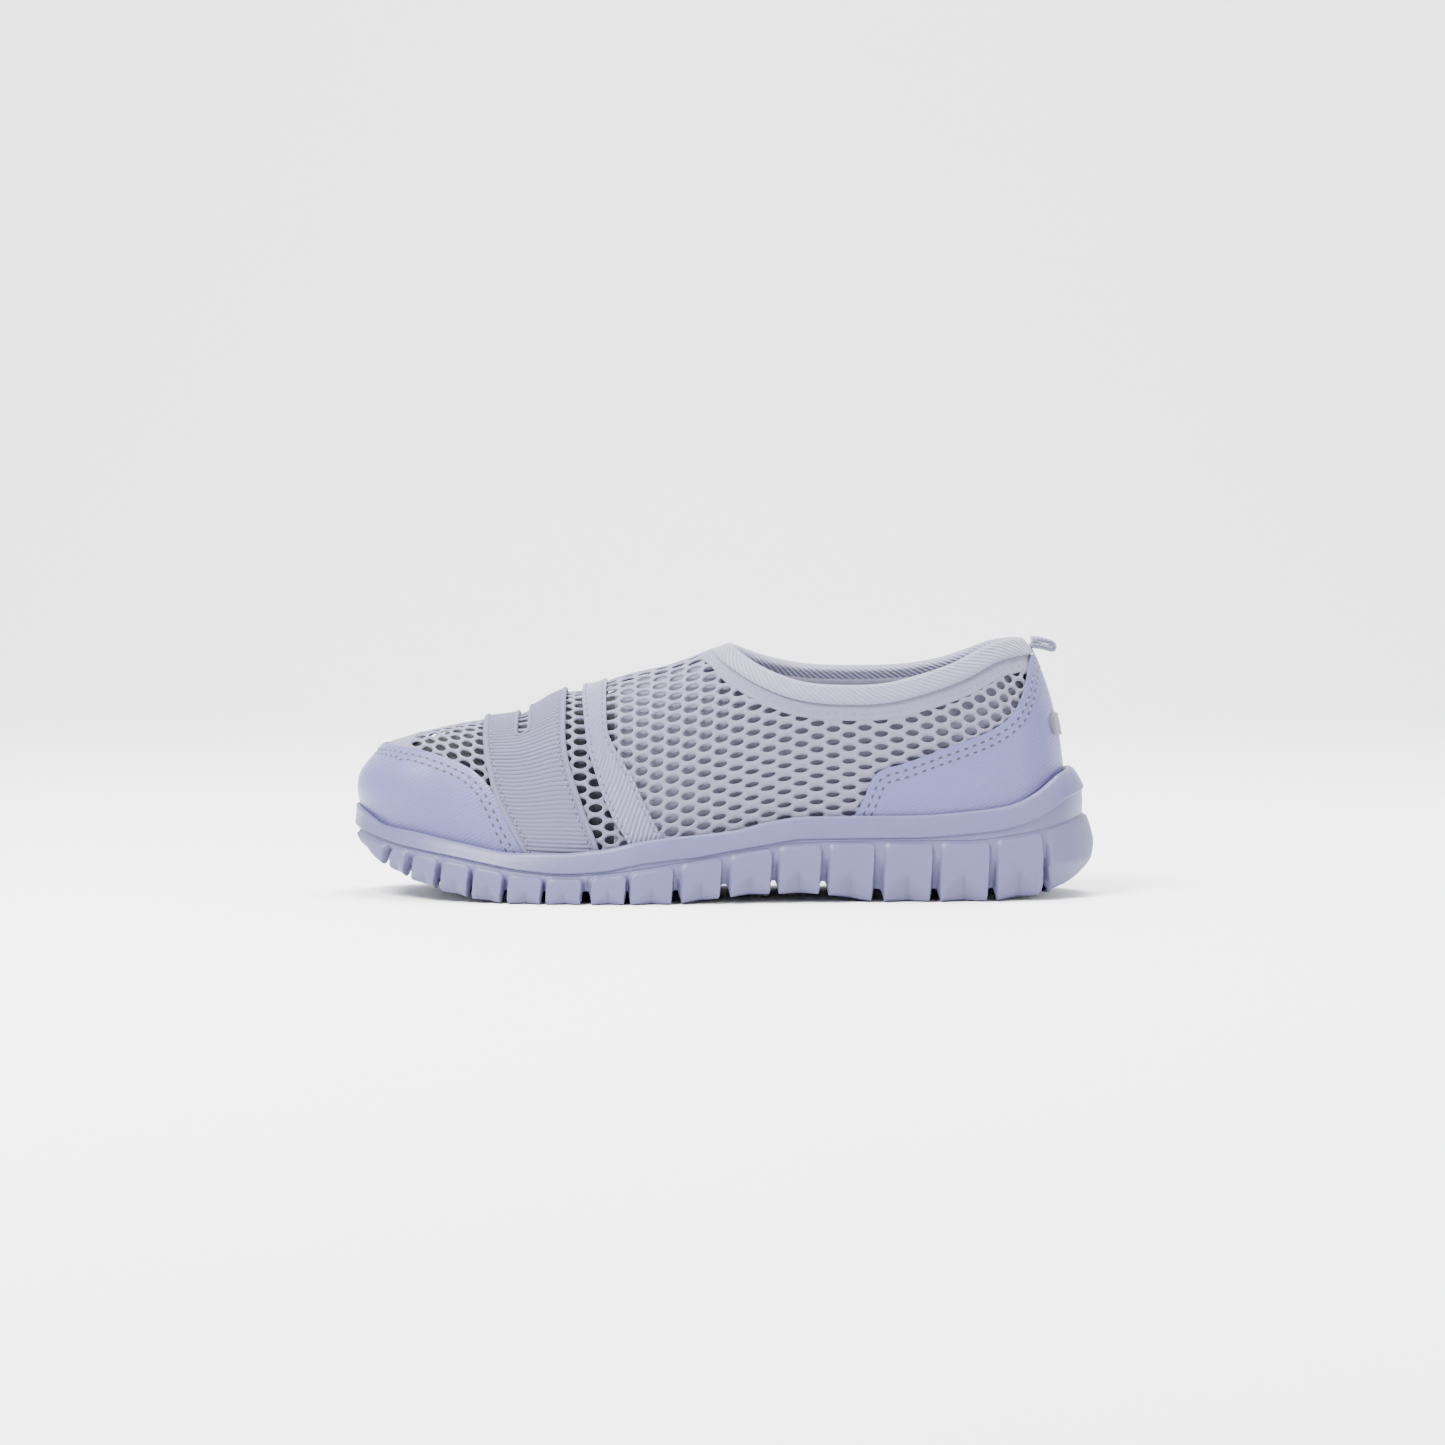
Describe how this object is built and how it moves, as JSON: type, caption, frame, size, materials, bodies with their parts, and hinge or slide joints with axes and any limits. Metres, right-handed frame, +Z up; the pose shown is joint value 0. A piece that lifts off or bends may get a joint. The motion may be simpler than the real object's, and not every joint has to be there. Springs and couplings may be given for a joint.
{
  "type": "slip-on running shoe",
  "caption": "Left slip-on running shoe: lugged foam sole, open mesh upper, webbing strap, taped collar, heel pull tab, flexing forefoot.",
  "frame": {"origin": "on the ground, under the middle of the shoe's box", "axes": "+Z up, toe towards -X, heel towards +X, outer (lateral) side towards -Y"},
  "size_m": [0.262, 0.0957, 0.0904],
  "materials": {
    "tread_rubber": "matte moulded foam rubber",
    "midsole_foam": "smooth satin foam",
    "stiffener_board": "matte needled board",
    "insole_cloth": "matte brushed cloth",
    "mesh_cloth": "open knitted mesh",
    "lining_cloth": "matte fine knit",
    "synthetic_leather": "satin, fine diagonal grain",
    "webbing": "ribbed woven webbing",
    "twill_tape": "glossy twill tape",
    "badge_rubber": "satin moulded rubber"
  },
  "bodies": {
    "rearfoot": {"outsole_rearfoot": "tread_rubber", "midsole_rearfoot": "midsole_foam", "strobel_board_rearfoot": "stiffener_board", "insole_rearfoot": "insole_cloth", "quarter_mesh": "mesh_cloth", "quarter_lining": "lining_cloth", "quarter_binding": "twill_tape", "collar_binding": "twill_tape", "heel_cover": "synthetic_leather", "heel_stiffener": "stiffener_board", "heel_badge": "badge_rubber"},
    "forefoot": {"outsole_forefoot": "tread_rubber", "midsole_forefoot": "midsole_foam", "strobel_board_forefoot": "stiffener_board", "insole_forefoot": "insole_cloth", "vamp_mesh": "mesh_cloth", "toe_cap": "synthetic_leather", "toe_puff": "stiffener_board", "vamp_strap": "webbing", "strap_front_edging": "webbing", "strap_rear_edging": "webbing"},
    "tab": {"pull_tab": "twill_tape"}
  },
  "joints": [
    {"name": "toe_flex", "type": "hinge", "parent": "rearfoot", "child": "forefoot", "pos_m": [-0.0468, 0, 0.02], "axis": [0, 1, 0], "range_deg": [0, 30], "stiffness_Nm_per_rad": 6, "deforming": ["vamp_mesh", "quarter_mesh", "quarter_lining", "quarter_binding"]},
    {"name": "pull_tab_fold", "type": "hinge", "parent": "rearfoot", "child": "tab", "pos_m": [0.1092, 0.002, 0.0886], "axis": [0, 1, 0], "range_deg": [-50, 30], "stiffness_Nm_per_rad": 0.02}
  ]
}
